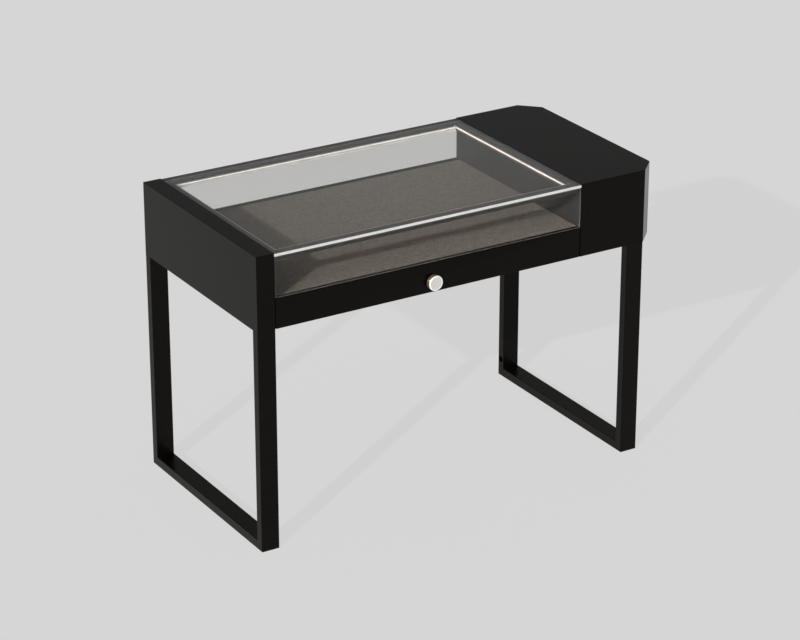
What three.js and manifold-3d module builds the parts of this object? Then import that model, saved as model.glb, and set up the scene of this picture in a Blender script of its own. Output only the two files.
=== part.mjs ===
// Display table: a glazed case with a pull-out felt tray, a side box with cut corners and two leg frames.
// Millimetres, +Z up. The pieces are laid out on a bench frame: x from the left end, y back from the front
// face, z up from the floor. Each group shifts that frame so that the origin is the middle of the footprint.
import * as THREE from "three";
import { ConvexGeometry } from "three/addons/geometries/ConvexGeometry.js";
import { mergeVertices } from "three/addons/utils/BufferGeometryUtils.js";
import Module from "manifold-3d";

const wasm = await Module();
wasm.setup();

// Whole table
const LENGTH = 1200;
const DEPTH = 600;
const HEIGHT = 800;
const BODY_HEIGHT = 200;
const BODY_BOTTOM = HEIGHT - BODY_HEIGHT;
const SEAM = 0.3;

// Leg frames, rectangular tube
const TUBE_WIDTH = 50;
const TUBE_DEPTH = 25;
const TUBE_WALL = 2;
const TUBE_CORNER = 1.5;
const RIGHT_FRAME_X = 1100;
const TONGUE_WIDTH = 28;
const TONGUE_FRONT = 18.5;
const TONGUE_BACK = 24;
const TONGUE_REACH = 60;
const TONGUE_HELD = 80;
const OUTLET_RADIUS = 9;
const OUTLET_HEIGHT = 50;

// Side box, mitred boards round a plan with two cut corners
const BOX_X = 950;
const BOX_CORNER = 50;
const BOX_BOARD = 18;
const LEAD_HOLE_RADIUS = 4.5;
const LIGHT_LEAD_RADIUS = 2.4;
const LIGHT_LEAD_Y = 545;

// Display case between the left end panel and the side box
const CASE = [TUBE_WIDTH + SEAM, BOX_X - SEAM];
const BASE_BOARD = 12;
const REAR_BOARD = 20;
const FRONT_HEIGHT = 81;
const GLASS = 8;
const GLASS_TOP = HEIGHT - 2;
const GLASS_SEAT = GLASS_TOP - GLASS;
const GROOVE_DEPTH = 8;

// Light frame under the top glass
const RING_FRONT = 15;
const RING_REAR = 585;
const RAIL_WIDTH = 24.7;
const RAIL = [774, 786];
const LIGHT_GROOVE = [778.7, 784.3];
const LIGHT_GROOVE_DEPTH = 7;
const TAPE = [779.5, 783.5];
const TAPE_THICKNESS = 1;
const DIFFUSER = [779, 784];
const DIFFUSER_THICKNESS = 2;
const GASKET_WIDTH = 13;

// Pull-out tray
const REVEAL = 2;
const TRAY = [TUBE_WIDTH + REVEAL, BOX_X - REVEAL];
const FRONT_BOARD = 20;
const DECK = [662, 678];
const FELT_TOP = 681;
const DECK_BACK = 578;
const TRAY_SIDE = 12;
const TRAY_SIDE_BACK = 560;
const TRAY_SIDE_BOTTOM = 618;
const BEARER_FRONT = 280;

// Telescopic runners, nested channels
const RUNNER_SPACE = 14;
const RUNNER_LENGTH = 500;
const RUNNER_FRONT = 30;
const RUNNER_MIDDLE_Z = 638.5;
const RUNNER_SHEET = 1.2;
const RUNNER_LIP = 3;
const OUTER_HALF = 22.5;
const OUTER_MOUTH = 11.6;
const MIDDLE_HALF = 17.5;
const MIDDLE_WEB = 2.6;
const MIDDLE_MOUTH = 12.6;
const INNER_HALF = 12.5;
const INNER_LIP = 5.4;
const RUNNER_HOLE_RADIUS = 2.6;
const RUNNER_HOLES = [40, 170, 330, 460];

// Ball cages between the runner members, with a row of balls along each edge
const CAGE_SHEET = 0.8;
const CAGE_FRONT = 125;
const CAGE_LENGTH = 240;
const CAGE_FLANGE = 7;
const OUTER_CAGE_WEB = 1.5;
const INNER_CAGE_WEB = 4.2;
const BALL_RADIUS = 1.6;
const BALL_PITCH = 44;
const BALLS_IN_ROW = 6;
const BALL_STEPS = 8;

// Knob on the tray front
const KNOB_X = 500;
const KNOB_Z = 630;
const KNOB_RADIUS = 20;
const KNOB_NECK_RADIUS = 14;
const KNOB_NECK = 5;
const KNOB_BARREL = 12;
const KNOB_REACH = 20;
const KNOB_BEVEL = 1.5;
const SCREW_RADIUS = 2;
const SCREW_HEAD_RADIUS = 4.5;
const SCREW_HEAD = 3;
const COUNTERBORE = 8;
const CLEARANCE = 0.4;

// Light supply in the side box
const DRIVER = { length: 160, width: 46, height: 30, flange: 14, sheet: 3, slot: 2.5 };
const DRIVER_X = 1010;
const DRIVER_Y = 220;

const ROUND = 24;
const OVERRUN = 10;

// Materials, one fresh copy for each mesh
const finish = (color, roughness, metalness) => () =>
  new THREE.MeshStandardMaterial({ color, roughness, metalness });
const lacquer = finish(0x14130f, 0.35, 0);
const powderCoat = finish(0x151412, 0.45, 0.2);
const innerBoard = finish(0x24211d, 0.6, 0);
const felt = finish(0x6e6862, 0.95, 0);
const alloy = finish(0x8a857c, 0.45, 0.8);
const zinc = finish(0xa9adb0, 0.35, 0.9);
const rubber = finish(0x1a1a1a, 0.8, 0);
const lightStrip = finish(0xfff1dc, 0.6, 0);
const bronze = finish(0x7a6a55, 0.4, 0.8);
const silver = finish(0xcac9c6, 0.3, 0.9);
const plastic = finish(0xd8d8d4, 0.55, 0);
const glass = () =>
  new THREE.MeshStandardMaterial({
    color: 0xe9f1ee,
    roughness: 0.05,
    metalness: 0,
    transparent: true,
    opacity: 0.25,
  });

// Solids and geometries
function solidOf(geometry) {
  const bare = geometry.clone();
  bare.deleteAttribute("normal");
  bare.deleteAttribute("uv");
  const merged = mergeVertices(bare, 1e-3);
  return new wasm.Manifold(
    new wasm.Mesh({
      numProp: 3,
      vertProperties: new Float32Array(merged.attributes.position.array),
      triVerts: new Uint32Array(merged.index.array),
    }),
  );
}

function geometryOf(solid) {
  const mesh = solid.getMesh();
  const geometry = new THREE.BufferGeometry();
  geometry.setAttribute("position", new THREE.BufferAttribute(mesh.vertProperties, 3));
  geometry.setIndex(new THREE.BufferAttribute(mesh.triVerts, 1));
  geometry.computeVertexNormals();
  return geometry;
}

const join = (first, ...more) =>
  geometryOf(more.reduce((solid, g) => solid.add(solidOf(g)), solidOf(first)));
const cut = (base, ...tools) =>
  geometryOf(tools.reduce((solid, g) => solid.subtract(solidOf(g)), solidOf(base)));

function block([x0, x1], [y0, y1], [z0, z1]) {
  const geometry = new THREE.BoxGeometry(x1 - x0, y1 - y0, z1 - z0);
  return geometry.translate((x0 + x1) / 2, (y0 + y1) / 2, (z0 + z1) / 2);
}

// A round bar or hole along one axis, through a point, with its length centred there.
function rod(axis, [x, y, z], radius, length) {
  const geometry = new THREE.CylinderGeometry(radius, radius, length, ROUND);
  if (axis === "x") geometry.rotateZ(Math.PI / 2);
  if (axis === "z") geometry.rotateX(Math.PI / 2);
  return geometry.translate(x, y, z);
}

const shapeOf = (points) => new THREE.Shape(points.map(([a, b]) => new THREE.Vector2(a, b)));

// A section drawn in y and z, drawn out along x, with its long edges rounded when a radius is given.
function extrudeX(points, [x0, x1], radius = 0) {
  const geometry = new THREE.ExtrudeGeometry(shapeOf(points), {
    depth: x1 - x0 - 2 * radius,
    bevelEnabled: radius > 0,
    bevelThickness: radius,
    bevelSize: radius,
    bevelOffset: -radius,
    bevelSegments: 2,
  });
  const turn = new THREE.Matrix4().makeBasis(
    new THREE.Vector3(0, 1, 0),
    new THREE.Vector3(0, 0, 1),
    new THREE.Vector3(1, 0, 0),
  );
  return geometry.applyMatrix4(turn).translate(x0 + radius, 0, 0);
}

// A section drawn in x and z, drawn out along y.
function extrudeY(points, [y0, y1]) {
  const geometry = new THREE.ExtrudeGeometry(shapeOf(points), {
    depth: y1 - y0,
    bevelEnabled: false,
  });
  return geometry.rotateX(Math.PI / 2).translate(0, y1, 0);
}

function mesh(group, name, geometry, material) {
  const made = new THREE.Mesh(geometry, material());
  made.name = name;
  group.add(made);
  return made;
}

// A plain board or pane: a box placed by its centre.
function board(group, name, x, y, z, material) {
  const size = [x, y, z].map(([low, high]) => high - low);
  const made = mesh(group, name, new THREE.BoxGeometry(...size), material);
  made.position.set(...[x, y, z].map(([low, high]) => (low + high) / 2));
  return made;
}

// Leg frames: a U of tube, open at the post tops, with a steel tongue up into the body at each post.
const postTop = BODY_BOTTOM - SEAM;
const tongueFaces = [
  [TONGUE_FRONT, TONGUE_BACK],
  [DEPTH - TONGUE_BACK, DEPTH - TONGUE_FRONT],
];
const tongueSpan = (x0) => [x0 + (TUBE_WIDTH - TONGUE_WIDTH) / 2, x0 + (TUBE_WIDTH + TONGUE_WIDTH) / 2];

function tubeOutline(inset, top) {
  const far = TUBE_DEPTH - inset;
  return [
    [inset, inset],
    [DEPTH - inset, inset],
    [DEPTH - inset, top],
    [DEPTH - far, top],
    [DEPTH - far, far],
    [far, far],
    [far, top],
    [inset, top],
  ];
}

function legFrame(x0, ...holes) {
  const tube = extrudeX(tubeOutline(0, postTop + OVERRUN), [x0, x0 + TUBE_WIDTH], TUBE_CORNER);
  const bore = extrudeX(
    tubeOutline(TUBE_WALL, postTop + 2 * OVERRUN),
    [x0 + TUBE_WALL, x0 + TUBE_WIDTH - TUBE_WALL],
  );
  const above = block(
    [x0 - OVERRUN, x0 + TUBE_WIDTH + OVERRUN],
    [-OVERRUN, DEPTH + OVERRUN],
    [postTop, postTop + 3 * OVERRUN],
  );
  const tongues = tongueFaces.map((y) =>
    block(tongueSpan(x0), y, [postTop - TONGUE_HELD, BODY_BOTTOM + TONGUE_REACH]),
  );
  return join(cut(tube, bore, above, ...holes), ...tongues);
}

// Slots that take the tongues of a leg frame, with a seam all round.
function tongueSlots(x0, [z0, z1]) {
  const [left, right] = tongueSpan(x0);
  return tongueFaces.map(([y0, y1]) => block([left - SEAM, right + SEAM], [y0 - SEAM, y1 + SEAM], [z0, z1]));
}

function buildLegFrames(group) {
  mesh(group, "left_leg_frame", legFrame(0), powderCoat);
  const outlet = rod(
    "x",
    [RIGHT_FRAME_X, DEPTH - TUBE_DEPTH / 2, OUTLET_HEIGHT],
    OUTLET_RADIUS,
    2 * TUBE_WALL + 2,
  );
  mesh(group, "right_leg_frame", legFrame(RIGHT_FRAME_X, outlet), powderCoat);
}

// Display case: end panel, base, rear board and the fixed panes.
function buildCase(group) {
  const slots = tongueSlots(0, [BODY_BOTTOM - 1, BODY_BOTTOM + TONGUE_REACH + 1]);
  const slab = block([0, TUBE_WIDTH], [0, DEPTH], [BODY_BOTTOM, HEIGHT]);
  mesh(group, "left_end_panel", cut(slab, ...slots), lacquer);

  const rearFace = DEPTH - REAR_BOARD;
  const frontTop = BODY_BOTTOM + FRONT_HEIGHT;
  board(
    group,
    "carcass_base",
    CASE,
    [FRONT_BOARD + REVEAL, rearFace - SEAM],
    [BODY_BOTTOM, BODY_BOTTOM + BASE_BOARD],
    lacquer,
  );
  const pane = [rearFace + (REAR_BOARD - GLASS) / 2, rearFace + (REAR_BOARD + GLASS) / 2];
  const rail = block(CASE, [rearFace, DEPTH], [BODY_BOTTOM, frontTop]);
  const groove = block(
    [CASE[0] - 1, CASE[1] + 1],
    [pane[0] - SEAM, pane[1] + SEAM],
    [frontTop - GROOVE_DEPTH, frontTop + 1],
  );
  mesh(group, "rear_board", cut(rail, groove), lacquer);
  board(group, "rear_glass", CASE, pane, [frontTop - GROOVE_DEPTH + SEAM, GLASS_SEAT - SEAM], glass);
  board(group, "top_glass", CASE, [0, DEPTH], [GLASS_SEAT, GLASS_TOP], glass);
}

// Light frame: each side is a rail with a groove for the tape and its diffuser, and a gasket under the glass.
const sides = {
  left: { along: "y", start: CASE[0], inward: 1 },
  right: { along: "y", start: CASE[1], inward: -1 },
  front: { along: "x", start: RING_FRONT, inward: 1 },
  rear: { along: "x", start: RING_REAR, inward: -1 },
};

// Where the light line's lead leaves the right rail and goes through the side box's wall to the supply.
const lightLead = (x, length) =>
  rod("x", [x, LIGHT_LEAD_Y, (TAPE[0] + TAPE[1]) / 2], LIGHT_LEAD_RADIUS, length);

// A strip of one side, from and to measured inward from the ring's outer edge.
function strip({ along, start, inward }, from, to, z, shy) {
  const across = [start + inward * from, start + inward * to].sort((a, b) => a - b);
  const run = along === "y" ? [RING_FRONT + shy, RING_REAR - shy] : [CASE[0] + shy, CASE[1] - shy];
  return along === "y" ? [across, run, z] : [run, across, z];
}

function buildLightFrame(group) {
  const behind = RAIL_WIDTH - LIGHT_GROOVE_DEPTH;
  for (const [name, side] of Object.entries(sides)) {
    const butted = side.along === "x";
    const lightShy = RAIL_WIDTH + 2 * SEAM;
    const rail = block(...strip(side, 0, RAIL_WIDTH, RAIL, butted ? RAIL_WIDTH + SEAM : 0));
    const groove = block(...strip(side, behind, RAIL_WIDTH + 1, LIGHT_GROOVE, lightShy + SEAM));
    const holes = name === "right" ? [lightLead(CASE[1], 2 * RAIL_WIDTH)] : [];
    mesh(group, `led_rail_${name}`, cut(rail, groove, ...holes), alloy);
    const tape = strip(side, behind + SEAM, behind + SEAM + TAPE_THICKNESS, TAPE, lightShy + 2 * SEAM);
    board(group, `led_tape_${name}`, ...tape, lightStrip);
    const lens = strip(side, RAIL_WIDTH - DIFFUSER_THICKNESS, RAIL_WIDTH, DIFFUSER, lightShy + 2 * SEAM);
    board(group, `led_diffuser_${name}`, ...lens, lightStrip);
    const padHeight = [RAIL[1] + SEAM, GLASS_SEAT - SEAM];
    const pad = strip(side, 0, GASKET_WIDTH, padHeight, butted ? GASKET_WIDTH + SEAM : 0);
    board(group, `glass_gasket_${name}`, ...pad, rubber);
  }
}

// Side box: every board is the hull of its outer outline and its inner one, so all edges meet in mitres.
const boxPlan = [
  [BOX_X, 0],
  [LENGTH - BOX_CORNER, 0],
  [LENGTH, BOX_CORNER],
  [LENGTH, DEPTH - BOX_CORNER],
  [LENGTH - BOX_CORNER, DEPTH],
  [BOX_X, DEPTH],
].map(([x, y]) => new THREE.Vector2(x, y));

const edgeOf = (points, i) => points[(i + 1) % points.length].clone().sub(points[i]).normalize();
const inwardOf = (edge) => new THREE.Vector2(-edge.y, edge.x);

// The plan moved inward by a distance, corner by corner.
function insetPlan(points, distance) {
  return points.map((point, i) => {
    const before = inwardOf(edgeOf(points, (i + points.length - 1) % points.length));
    const after = inwardOf(edgeOf(points, i));
    const reach = distance / (1 + before.dot(after));
    return point.clone().addScaledVector(before.add(after), reach);
  });
}

const lift = (points, z) => points.map(({ x, y }) => new THREE.Vector3(x, y, z));

// One wall, from corner i of the plan to the next.
function boxWall(i) {
  const innerPlan = insetPlan(boxPlan, BOX_BOARD);
  const edge = edgeOf(boxPlan, i);
  const ends = (plan) => [
    plan[i].clone().addScaledVector(edge, SEAM),
    plan[(i + 1) % plan.length].clone().addScaledVector(edge, -SEAM),
  ];
  const low = BODY_BOTTOM + SEAM;
  const high = HEIGHT - SEAM;
  return new ConvexGeometry([
    ...lift(ends(boxPlan), low),
    ...lift(ends(boxPlan), high),
    ...lift(ends(innerPlan), low + BOX_BOARD),
    ...lift(ends(innerPlan), high - BOX_BOARD),
  ]);
}

// Top or base board: the full plan on the outside, the inner plan one board thickness further in.
function boxPlate(outside, inside) {
  return new ConvexGeometry([
    ...lift(boxPlan, outside),
    ...lift(insetPlan(boxPlan, BOX_BOARD), inside),
  ]);
}

function buildBox(group) {
  const walls = ["box_front", "box_front_corner", "box_end", "box_rear_corner", "box_back"];
  walls.forEach((name, i) => mesh(group, name, boxWall(i), lacquer));
  const innerSide = cut(boxWall(walls.length), lightLead(BOX_X, 4 * BOX_BOARD));
  mesh(group, "box_inner_side", innerSide, lacquer);
  mesh(group, "box_top", boxPlate(HEIGHT, HEIGHT - BOX_BOARD), lacquer);
  const slots = tongueSlots(RIGHT_FRAME_X, [BODY_BOTTOM - 1, BODY_BOTTOM + BOX_BOARD + 1]);
  const leadHole = rod(
    "z",
    [RIGHT_FRAME_X + TUBE_WIDTH - TUBE_WALL - LEAD_HOLE_RADIUS, DEPTH - TUBE_DEPTH, BODY_BOTTOM],
    LEAD_HOLE_RADIUS,
    3 * BOX_BOARD,
  );
  const base = boxPlate(BODY_BOTTOM, BODY_BOTTOM + BOX_BOARD);
  mesh(group, "box_base", cut(base, leadHole, ...slots), lacquer);
  buildDriver(group);
}

// Light supply: a cased brick with a slotted foot at each end.
function buildDriver(group) {
  const { length, width, height, flange, sheet, slot } = DRIVER;
  const seat = BODY_BOTTOM + BOX_BOARD + SEAM;
  const chamfer = sheet;
  const half = width / 2;
  const section = [
    [-half, 0],
    [half, 0],
    [half, height - chamfer],
    [half - chamfer, height],
    [chamfer - half, height],
    [-half, height - chamfer],
  ];
  const casing = extrudeY(section, [0, length]);
  const foot = block([-half, half], [-flange, length + flange], [0, sheet]);
  const slots = [-flange / 2, length + flange / 2].map((y) => rod("z", [0, y, 0], slot, 4 * sheet));
  const made = mesh(group, "led_driver", cut(join(casing, foot), ...slots), plastic);
  made.position.set(DRIVER_X + half, DRIVER_Y, seat);
}

// Tray: the front board carries the pane and the knob, and the deck lies on a low frame behind it.
function buildTray(group) {
  const back = FRONT_BOARD + SEAM;
  const frontTop = BODY_BOTTOM + FRONT_HEIGHT;
  const sheet = block(TRAY, [0, FRONT_BOARD], [BODY_BOTTOM, frontTop]);
  const screwHole = rod("y", [KNOB_X, 0, KNOB_Z], SCREW_RADIUS + CLEARANCE, 3 * FRONT_BOARD);
  const headHole = rod("y", [KNOB_X, FRONT_BOARD, KNOB_Z], SCREW_HEAD_RADIUS + CLEARANCE, 2 * COUNTERBORE);
  mesh(group, "drawer_front", cut(sheet, screwHole, headHole), lacquer);
  board(group, "front_glass", TRAY, [0, GLASS], [frontTop + SEAM, GLASS_SEAT - 3], glass);
  board(group, "display_deck", TRAY, [back, DECK_BACK], DECK, innerBoard);
  board(group, "felt_lining", TRAY, [back, DECK_BACK], [DECK[1] + SEAM, FELT_TOP], felt);

  const left = TUBE_WIDTH + RUNNER_SPACE;
  const right = BOX_X - RUNNER_SPACE;
  const z = [TRAY_SIDE_BOTTOM, DECK[0] - SEAM];
  board(group, "drawer_side_left", [left, left + TRAY_SIDE], [back, TRAY_SIDE_BACK], z, innerBoard);
  board(group, "drawer_side_right", [right - TRAY_SIDE, right], [back, TRAY_SIDE_BACK], z, innerBoard);
  const between = [left + TRAY_SIDE + SEAM, right - TRAY_SIDE - SEAM];
  board(group, "drawer_back", between, [TRAY_SIDE_BACK - TRAY_SIDE, TRAY_SIDE_BACK], z, innerBoard);
  board(group, "deck_bearer", between, [BEARER_FRONT, BEARER_FRONT + TRAY_SIDE], z, innerBoard);
  buildKnob(group);
}

// Knob: turned barrel on a neck, a bevelled cap on its face, and the screw that holds it through the board.
function turned(points) {
  return new THREE.LatheGeometry(points.map(([r, y]) => new THREE.Vector2(r, y)), 2 * ROUND);
}

function buildKnob(group) {
  const knob = new THREE.Group();
  knob.position.set(KNOB_X, 0, KNOB_Z);
  group.add(knob);
  const neckEnd = -KNOB_NECK;
  const barrelEnd = neckEnd - KNOB_BARREL;
  const bore = SCREW_RADIUS + CLEARANCE;
  const boreEnd = neckEnd - KNOB_BARREL / 2;
  const barrel = turned([
    [0, barrelEnd],
    [KNOB_RADIUS, barrelEnd],
    [KNOB_RADIUS, neckEnd - KNOB_BEVEL],
    [KNOB_RADIUS - KNOB_BEVEL, neckEnd],
    [KNOB_NECK_RADIUS, neckEnd],
    [KNOB_NECK_RADIUS, -SEAM],
    [bore, -SEAM],
    [bore, boreEnd],
    [0, boreEnd],
  ]);
  mesh(knob, "knob_barrel", barrel, bronze);
  const cap = turned([
    [0, -KNOB_REACH],
    [KNOB_RADIUS - KNOB_BEVEL, -KNOB_REACH],
    [KNOB_RADIUS, KNOB_BEVEL - KNOB_REACH],
    [KNOB_RADIUS, barrelEnd - SEAM],
    [0, barrelEnd - SEAM],
  ]);
  mesh(knob, "knob_cap", cap, silver);
  const headSeat = FRONT_BOARD - COUNTERBORE + SEAM;
  const screw = turned([
    [0, boreEnd + CLEARANCE],
    [SCREW_RADIUS, boreEnd + CLEARANCE],
    [SCREW_RADIUS, headSeat],
    [SCREW_HEAD_RADIUS, headSeat],
    [SCREW_HEAD_RADIUS, headSeat + SCREW_HEAD],
    [0, headSeat + SCREW_HEAD],
  ]);
  mesh(knob, "knob_screw", screw, zinc);
}

// Runner sections, drawn from the cabinet wall towards the tray. The first is a channel with its lips turned
// in, the second a channel that faces it with its lips turned out, so that each hooks behind the next.
function lippedIn(near, far, half) {
  const t = RUNNER_SHEET;
  const upper = [
    [near, half],
    [far, half],
    [far, half - RUNNER_LIP],
    [far - t, half - RUNNER_LIP],
    [far - t, half - t],
    [near + t, half - t],
  ];
  const lower = upper.map(([x, z]) => [x, -z]).reverse();
  return [...upper, ...lower];
}

function lippedOut(near, far, half) {
  const t = RUNNER_SHEET;
  const upper = [
    [far, half],
    [near + t, half],
    [near + t, half + t],
    [near, half + t],
    [near, half - t],
    [far - t, half - t],
  ];
  const lower = upper.map(([x, z]) => [x, -z]).reverse();
  return [...upper, ...lower];
}

// One member: the section drawn out along y, with screw holes through its web where it is screwed on.
function runnerMember(section, web) {
  const bar = extrudeY(section, [0, RUNNER_LENGTH]);
  if (web === null) return join(bar);
  const holes = RUNNER_HOLES.map((y) => rod("x", [web, y, 0], RUNNER_HOLE_RADIUS, 3 * RUNNER_SHEET));
  return cut(bar, ...holes);
}

// A cage: a light channel whose edges carry the balls, halfway between the raceways on each side of it.
function ballCage(web, row) {
  const half = row + CAGE_SHEET / 2;
  const mouth = web + CAGE_FLANGE;
  const upper = [
    [web, half],
    [mouth, half],
    [mouth, half - CAGE_SHEET],
    [web + CAGE_SHEET, half - CAGE_SHEET],
  ];
  const lower = upper.map(([x, z]) => [x, -z]).reverse();
  const strip = extrudeY([...upper, ...lower], [CAGE_FRONT, CAGE_FRONT + CAGE_LENGTH]);
  const first = CAGE_FRONT + (CAGE_LENGTH - (BALLS_IN_ROW - 1) * BALL_PITCH) / 2;
  const balls = [];
  for (const edge of [row, -row]) {
    for (let i = 0; i < BALLS_IN_ROW; i++) {
      const ball = new THREE.SphereGeometry(BALL_RADIUS, BALL_STEPS, BALL_STEPS - 2);
      balls.push(ball.translate(mouth - BALL_RADIUS - CAGE_SHEET / 2, first + i * BALL_PITCH, edge));
    }
  }
  return join(strip, ...balls);
}

// Both runners come from one drawing. The right one is the left one turned half round about its length.
function buildRunners(groups) {
  const far = RUNNER_SPACE - 2 * SEAM;
  const outerRow = (OUTER_HALF - RUNNER_SHEET + MIDDLE_HALF) / 2;
  const innerRow = (MIDDLE_HALF - RUNNER_SHEET + INNER_HALF) / 2;
  const members = [
    ["runner_outer", groups.fixed, () => runnerMember(lippedIn(0, OUTER_MOUTH, OUTER_HALF), 0)],
    ["runner_cage_outer", groups.outerCages, () => ballCage(OUTER_CAGE_WEB, outerRow)],
    [
      "runner_middle",
      groups.middle,
      () => runnerMember(lippedIn(MIDDLE_WEB, MIDDLE_MOUTH, MIDDLE_HALF), null),
    ],
    ["runner_cage_inner", groups.innerCages, () => ballCage(INNER_CAGE_WEB, innerRow)],
    ["runner_inner", groups.tray, () => runnerMember(lippedOut(INNER_LIP, far, INNER_HALF), far)],
  ];
  for (const [name, group, draw] of members) {
    const left = mesh(group, `${name}_left`, draw(), zinc);
    left.position.set(TUBE_WIDTH + SEAM, RUNNER_FRONT, RUNNER_MIDDLE_Z);
    const right = mesh(group, `${name}_right`, draw(), zinc);
    right.rotation.y = Math.PI;
    right.position.set(BOX_X - SEAM, RUNNER_FRONT, RUNNER_MIDDLE_Z);
  }
}

const table = new THREE.Group();
table.name = "display_table";
const newGroup = () => {
  const group = new THREE.Group();
  group.position.set(-LENGTH / 2, -(DEPTH - KNOB_REACH) / 2, 0);
  table.add(group);
  return group;
};
const fixed = newGroup();
const tray = newGroup();
const middle = newGroup();
const outerCages = newGroup();
const innerCages = newGroup();
buildLegFrames(fixed);
buildCase(fixed);
buildLightFrame(fixed);
buildBox(fixed);
buildTray(tray);
buildRunners({ fixed, tray, middle, outerCages, innerCages });

export default table;
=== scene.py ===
"""Dresses the glass display table: lacquer, tube frames, glass, felt tray, light line and runners."""

import math

import bmesh
import bpy
from bpy.props import FloatProperty, FloatVectorProperty, PointerProperty
from mathutils import Matrix, Vector, noise


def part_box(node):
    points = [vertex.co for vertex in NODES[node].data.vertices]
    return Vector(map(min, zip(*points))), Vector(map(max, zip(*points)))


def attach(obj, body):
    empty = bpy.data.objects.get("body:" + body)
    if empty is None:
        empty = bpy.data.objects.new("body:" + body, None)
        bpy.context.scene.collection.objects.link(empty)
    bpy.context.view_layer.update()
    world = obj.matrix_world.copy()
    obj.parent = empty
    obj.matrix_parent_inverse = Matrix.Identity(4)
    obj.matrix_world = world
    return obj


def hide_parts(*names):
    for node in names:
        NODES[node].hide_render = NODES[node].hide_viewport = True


bl_info = {
    "name": "Display Table",
    "version": (1, 0, 0),
    "blender": (4, 5, 0),
    "location": "View3D > Sidebar > Table",
    "description": "Builds the finished look of a glass display table round its packed solids",
    "category": "Object",
}

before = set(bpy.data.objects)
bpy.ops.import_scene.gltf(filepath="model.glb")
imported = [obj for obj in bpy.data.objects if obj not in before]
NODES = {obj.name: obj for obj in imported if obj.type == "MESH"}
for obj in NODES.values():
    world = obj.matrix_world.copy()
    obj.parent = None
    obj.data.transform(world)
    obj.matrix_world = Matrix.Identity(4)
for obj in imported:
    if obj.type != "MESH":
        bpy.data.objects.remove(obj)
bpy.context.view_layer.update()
SIDES = ("left", "right", "front", "rear")
INWARD = {"left": (0, 1), "right": (0, -1), "front": (1, 1), "rear": (1, -1)}
BOX_BOARDS = (
    "box_top",
    "box_base",
    "box_front",
    "box_front_corner",
    "box_end",
    "box_rear_corner",
    "box_back",
    "box_inner_side",
)
PANES = {"top_glass": ("case", 2), "rear_glass": ("case", 1), "front_glass": ("tray", 1)}
INNER_WALLS = {"left_end_panel": 1, "box_inner_side": -1}
TRAY_BOARDS = ("display_deck", "drawer_side_left", "drawer_side_right", "drawer_back", "deck_bearer")
RUNNER_MEMBERS = ("outer", "cage_outer", "middle", "cage_inner", "inner")

# How the solids are merged, which of their edges are rounded, and where shading breaks.
MERGE_DISTANCE = 2e-6
FLAT_ANGLE = math.radians(1.0)
CORNER_ANGLE = 0.3
SHARP_ANGLE = math.radians(14)
ON_THE_EDGE = 1e-5
POST_MARGIN = 0.001
BOARD_EDGE_LENGTH = 0.015

# Parts of a face's normal along an axis: nearly square to it, rather upwards, and a little tilted.
SQUARE_ON = 0.9
UPWARD = 0.5
TILTED = 0.3

# Screws: the head's shape as shares of its radius and depth, and how far it stands out.
SCREW_DEPTH = 0.0011
SCREW_STEPS = 24
SCREW_TAPER = 0.8
SCREW_RIM = 0.48
SOCKET_SLOPE = 0.08
SOCKET_DEPTH = 0.6
SCREW_PROUD = 0.0003
RAIL_SCREW_IN = (0.0125, 0.023)
BASE_SCREW_EDGE = 0.025
BASE_SCREW_COUNT = 5
BASE_SCREW_ROWS = (0.1, 0.3, 0.5)
HOLE_STEPS = (0.04, 0.17, 0.33, 0.46)
HOLE_RADIUS = 0.0025
RUNNER_SHEET = 0.0012

# Felt: the cells of its grid, the pitch of its unevenness, and the rounding of its cut edge.
FELT_CELLS = (112, 70)
FELT_PITCH = 23.0
FELT_ARRIS = 0.0008
FELT_CORNER = 1.2

# Light frame: the diffusers' rounding, the rails' upper band, and the places of the rails' finishes.
DIFFUSER_ARRIS = 0.0004
RAIL_TOP_BAND = 0.002
RAIL_FINISHES = ("rail_alloy", "rail_bead_painted_glow", "light_lip_painted_backdrop")
PAINTED_GLOW, PAINTED_BACKDROP = 1, 2

# Panes: the places of their finishes in the list that each pane carries.
PANE_FINISHES = ("clear_glass", "glass_edge", "ground_edge", "gasket_black")
POLISHED, GROUND, SEALED = 1, 2, 3

# Knob: its axis, the neck behind the barrel, and the bevelled rim and dished face of the cap.
KNOB_AXIS = sum(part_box("knob_cap"), Vector()) / 2
TURN_STEPS = 96
KNOB_NECK = 0.014
KNOB_NECK_LENGTH = 0.005
KNOB_ROUND = 0.0012
KNOB_SHOULDER = 0.3
CAP_RIM = 0.0026
CAP_RIM_SLOPE = 0.4
CAP_DISH = 0.0003
CAP_DISH_SLOPE = 0.0004
CAP_LIP = 0.0002
RIM_FACING = (-0.95, -0.3)

# Stage: the key light, the sky from its dark to its bright side, and the floor with its low backdrop.
TOWARDS_KEY = Vector((-1.82, -1.19, 1.0)).normalized()
KEY_ANGLE = math.radians(0.7)
KEY_COLOUR = (1.0, 0.985, 0.965)
SKY_RAMP = {"From Min": -0.35, "From Max": 0.75, "To Min": 0.24, "To Max": 0.38}
FLOOR_EVENNESS = 0.92
FLOOR_SHADES = (1.175, 1.185)
FLOOR_REACH = 60.0
FLOOR_STEPS = 96
FLOOR_DROP = 0.0004
BACKDROP_HEIGHT = 9.0
COVE = 7.0
COVE_STEPS = 12

# The photograph's camera: where it stands, which way it looks, its lens and its sensor.
CAMERA_PLACE = Vector((-3.6746, -5.9884, 3.4347))
CAMERA_LOOK = Vector((0.4783, 0.7832, -0.3972))
CAMERA_LENS = 130.81
CAMERA_SENSOR = 36.0
CAMERA_REACH = 200.0


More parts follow.
